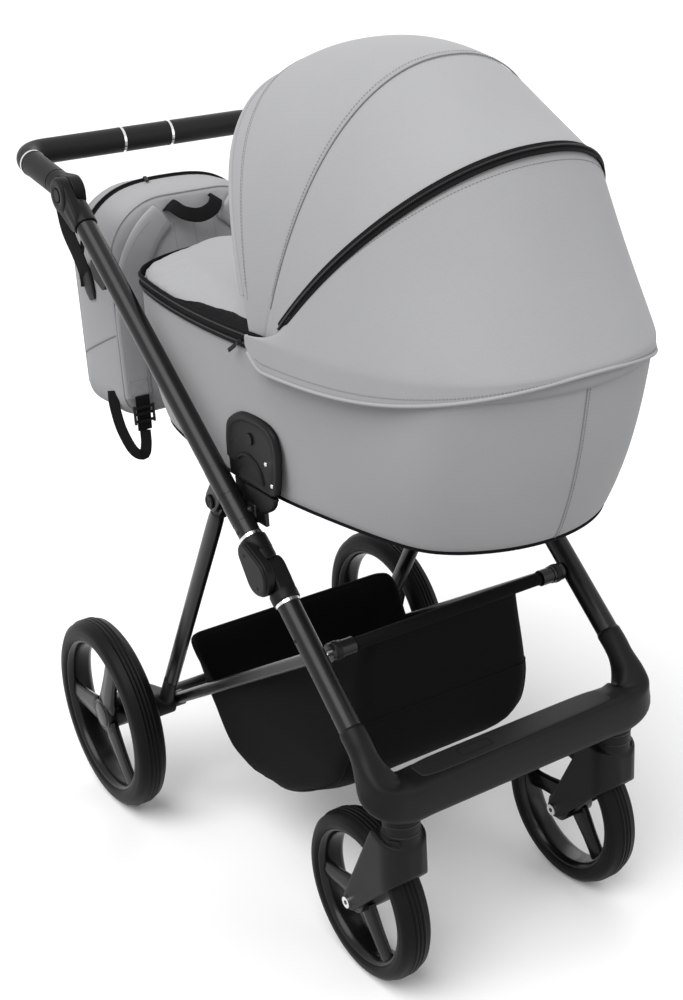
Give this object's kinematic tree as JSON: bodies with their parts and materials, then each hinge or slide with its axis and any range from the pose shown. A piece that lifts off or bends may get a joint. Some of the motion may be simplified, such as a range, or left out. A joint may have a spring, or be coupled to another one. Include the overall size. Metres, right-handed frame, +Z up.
{
  "type": "baby stroller",
  "caption": "Folding pram with a lift-off bassinet, a folding hood, swivel front wheels, a shopping basket and a bag hung at its tilting handle.",
  "frame": {"origin": "on the floor under the middle of the pram", "axes": "+X forward, from the handle to the front wheels; +Y to the pram's left; +Z up"},
  "size_m": [1.066, 0.574, 1.1692],
  "materials": {
    "frame_black": "satin",
    "plastic_black": "matte",
    "rim_black": "satin",
    "tyre_black": "matte",
    "tread_rubber": "textured",
    "bright_steel": "polished",
    "grip_leather": "perforated",
    "grey_cloth": "soft matte",
    "black_cloth": "woven",
    "mattress_cloth": "woven"
  },
  "bodies": {
    "upper_frame": {"upper_tube_left": "frame_black", "upper_tube_right": "frame_black", "fold_hinge_uppers": "plastic_black", "leg_pivot_blocks": "plastic_black", "chassis_adapters": "plastic_black", "handle_hinge_bases": "plastic_black", "upper_rings": "bright_steel", "frame_pins": "bright_steel", "bag": "grey_cloth", "bag_hanger_straps": "black_cloth", "bag_shoulder_straps": "grey_cloth"},
    "handle": {"handle_tube": "frame_black", "handle_grip": "grip_leather", "grip_rings": "bright_steel", "handle_hinge_left": "plastic_black", "handle_hinge_right": "plastic_black"},
    "handle_button_left": {"handle_button_left": "plastic_black"},
    "handle_button_right": {"handle_button_right": "plastic_black"},
    "fold_trigger_left": {"fold_trigger_left": "plastic_black"},
    "fold_trigger_right": {"fold_trigger_right": "plastic_black"},
    "front_frame": {"front_leg_left": "frame_black", "front_leg_right": "frame_black", "fold_hinge_lowers": "plastic_black", "lower_rings": "bright_steel", "footrest": "plastic_black", "footrest_tread": "tread_rubber", "basket_bar": "frame_black", "basket": "black_cloth", "link_pins": "bright_steel"},
    "rear_frame": {"rear_leg_left": "frame_black", "rear_leg_right": "frame_black", "rear_bracket_left": "plastic_black", "rear_bracket_right": "plastic_black", "rear_axle": "bright_steel"},
    "side_links": {"side_link_left": "frame_black", "side_link_right": "frame_black"},
    "brake_pedal": {"brake_pedal": "plastic_black"},
    "rear_wheel_left": {"rear_tyre_left": "tyre_black", "rear_rim_left": "rim_black"},
    "rear_wheel_right": {"rear_tyre_right": "tyre_black", "rear_rim_right": "rim_black"},
    "castor_left": {"castor_fork_left": "plastic_black", "front_axle_left": "bright_steel"},
    "castor_right": {"castor_fork_right": "plastic_black", "front_axle_right": "bright_steel"},
    "front_wheel_left": {"front_tyre_left": "tyre_black", "front_rim_left": "rim_black"},
    "front_wheel_right": {"front_tyre_right": "tyre_black", "front_rim_right": "rim_black"},
    "bassinet": {"bassinet_tub": "grey_cloth", "tub_brackets": "plastic_black", "apron": "grey_cloth", "mattress": "mattress_cloth", "hood_pivots": "plastic_black", "hood_back": "grey_cloth"},
    "adapter_button_left": {"adapter_button_left": "plastic_black"},
    "adapter_button_right": {"adapter_button_right": "plastic_black"},
    "hood_front": {"hood_front": "grey_cloth", "hood_rim_bow": "plastic_black"},
    "hood_mid": {"hood_mid": "grey_cloth"}
  },
  "joints": [
    {"name": "handle_tilt", "type": "hinge", "parent": "upper_frame", "child": "handle", "pos_m": [-0.3385, 0, 0.955], "axis": [0, 1, 0], "range_deg": [-8, 60]},
    {"name": "handle_button_press_left", "type": "slide", "parent": "upper_frame", "child": "handle_button_left", "axis": [0, -1, 0], "range_m": [0, 0.0029], "stiffness_N_per_m": 400},
    {"name": "handle_button_press_right", "type": "slide", "parent": "upper_frame", "child": "handle_button_right", "axis": [0, 1, 0], "range_m": [0, 0.0029], "stiffness_N_per_m": 400},
    {"name": "fold_trigger_pull_left", "type": "slide", "parent": "upper_frame", "child": "fold_trigger_left", "axis": [-0.7749, 0, 0.632], "range_m": [0, 0.01], "stiffness_N_per_m": 400},
    {"name": "fold_trigger_pull_right", "type": "slide", "parent": "upper_frame", "child": "fold_trigger_right", "axis": [-0.7749, 0, 0.632], "range_m": [0, 0.01], "stiffness_N_per_m": 400},
    {"name": "fold", "type": "hinge", "parent": "upper_frame", "child": "front_frame", "pos_m": [0.16676, 0, 0.54292], "axis": [0, 1, 0], "range_deg": [0, 60], "deforming": ["basket"]},
    {"name": "rear_leg_fold", "type": "hinge", "parent": "upper_frame", "child": "rear_frame", "pos_m": [0.03114, 0, 0.59972], "axis": [0, 1, 0], "range_deg": [0, 36]},
    {"name": "side_link_fold", "type": "hinge", "parent": "front_frame", "child": "side_links", "pos_m": [0.25863, 0, 0.45874], "axis": [0, 1, 0], "range_deg": [-34, 0]},
    {"name": "brake_press", "type": "hinge", "parent": "rear_frame", "child": "brake_pedal", "pos_m": [-0.2935, 0, 0.1525], "axis": [0, 1, 0], "range_deg": [-18, 0]},
    {"name": "rear_wheel_spin_left", "type": "hinge", "parent": "rear_frame", "child": "rear_wheel_left", "pos_m": [-0.2935, 0.263, 0.1525], "axis": [0, 1, 0], "continuous": true},
    {"name": "rear_wheel_spin_right", "type": "hinge", "parent": "rear_frame", "child": "rear_wheel_right", "pos_m": [-0.2935, -0.263, 0.1525], "axis": [0, 1, 0], "continuous": true},
    {"name": "castor_swivel_left", "type": "hinge", "parent": "front_frame", "child": "castor_left", "pos_m": [0.3815, 0.173, 0.284], "axis": [0, 0, 1], "continuous": true},
    {"name": "castor_swivel_right", "type": "hinge", "parent": "front_frame", "child": "castor_right", "pos_m": [0.3815, -0.173, 0.284], "axis": [0, 0, 1], "continuous": true},
    {"name": "front_wheel_spin_left", "type": "hinge", "parent": "castor_left", "child": "front_wheel_left", "pos_m": [0.2965, 0.173, 0.1165], "axis": [0, 1, 0], "continuous": true},
    {"name": "front_wheel_spin_right", "type": "hinge", "parent": "castor_right", "child": "front_wheel_right", "pos_m": [0.2965, -0.173, 0.1165], "axis": [0, 1, 0], "continuous": true},
    {"name": "bassinet_lift", "type": "slide", "parent": "upper_frame", "child": "bassinet", "axis": [0, 0, 1], "range_m": [0, 0.25]},
    {"name": "adapter_button_press_left", "type": "slide", "parent": "bassinet", "child": "adapter_button_left", "axis": [0, -1, 0], "range_m": [0, 0.0019], "stiffness_N_per_m": 400},
    {"name": "adapter_button_press_right", "type": "slide", "parent": "bassinet", "child": "adapter_button_right", "axis": [0, 1, 0], "range_m": [0, 0.0019], "stiffness_N_per_m": 400},
    {"name": "hood_fold", "type": "hinge", "parent": "bassinet", "child": "hood_front", "pos_m": [0.1945, 0, 0.852], "axis": [0, 1, 0], "range_deg": [0, 48]},
    {"name": "hood_mid_fold", "type": "hinge", "parent": "bassinet", "child": "hood_mid", "pos_m": [0.1945, 0, 0.852], "axis": [0, 1, 0], "range_deg": [0, 24]}
  ],
  "couplings": [
    {"joint": "rear_leg_fold", "follows": "fold", "ratio": 0.5747},
    {"joint": "side_link_fold", "follows": "fold", "ratio": -0.5383},
    {"joint": "hood_mid_fold", "follows": "hood_fold", "ratio": 0.5}
  ]
}
